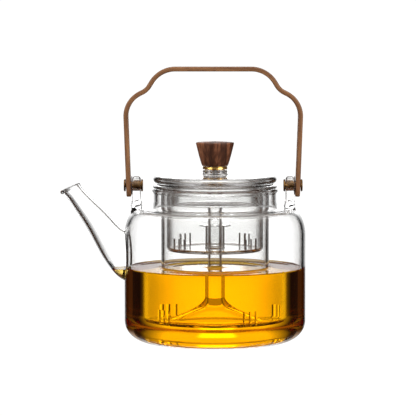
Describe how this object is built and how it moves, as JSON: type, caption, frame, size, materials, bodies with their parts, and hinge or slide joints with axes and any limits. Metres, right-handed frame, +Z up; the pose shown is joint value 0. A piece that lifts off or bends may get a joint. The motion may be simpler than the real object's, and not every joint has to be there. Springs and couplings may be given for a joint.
{
  "type": "glass teapot",
  "caption": "Round clear glass teapot with a spout, a hanging glass liner, steam column and leaf basket, a plugged lid with a wooden knob, and a hinged bent-wood bail.",
  "frame": {"origin": "centre of the flat base of the pot, on the table", "axes": "+Z up, -X towards the spout, the bail turns about an axis along X"},
  "size_m": [0.1767, 0.1312, 0.1987],
  "materials": {
    "clear_glass": "clear, polished",
    "bent_wood": "satin, bent walnut strip",
    "walnut": "oiled, turned",
    "brass": "polished",
    "steel": "machined",
    "silicone": "matt, translucent white",
    "leather": "dark, thin"
  },
  "bodies": {
    "pot": {"glass_body": "clear_glass", "spout": "clear_glass", "ear_right": "clear_glass", "ear_left": "clear_glass", "ear_bush_right": "brass", "ear_bush_left": "brass"},
    "bail": {"bail": "bent_wood", "pivot_post_right": "brass", "pivot_post_left": "brass", "pivot_screw_right": "brass", "pivot_screw_left": "brass", "spacer_right": "leather", "spacer_left": "leather"},
    "liner": {"liner_cup": "clear_glass", "steam_column": "clear_glass"},
    "basket": {"basket_cup": "clear_glass", "basket_sleeve": "clear_glass"},
    "lid": {"lid_glass": "clear_glass", "knob": "walnut", "knob_collar": "brass", "knob_screw": "steel", "screw_washer": "steel", "knob_gasket": "silicone"}
  },
  "joints": [
    {"name": "bail_swing", "type": "hinge", "parent": "pot", "child": "bail", "pos_m": [-0.0013, 0, 0.113], "axis": [1, 0, 0], "range_deg": [-120, 120]},
    {"name": "liner_lift", "type": "slide", "parent": "pot", "child": "liner", "axis": [0, 0, 1], "range_m": [0, 0.05]},
    {"name": "basket_lift", "type": "slide", "parent": "liner", "child": "basket", "axis": [0, 0, 1], "range_m": [0, 0.05]},
    {"name": "lid_lift", "type": "slide", "parent": "basket", "child": "lid", "axis": [0, 0, 1], "range_m": [0, 0.05]}
  ]
}
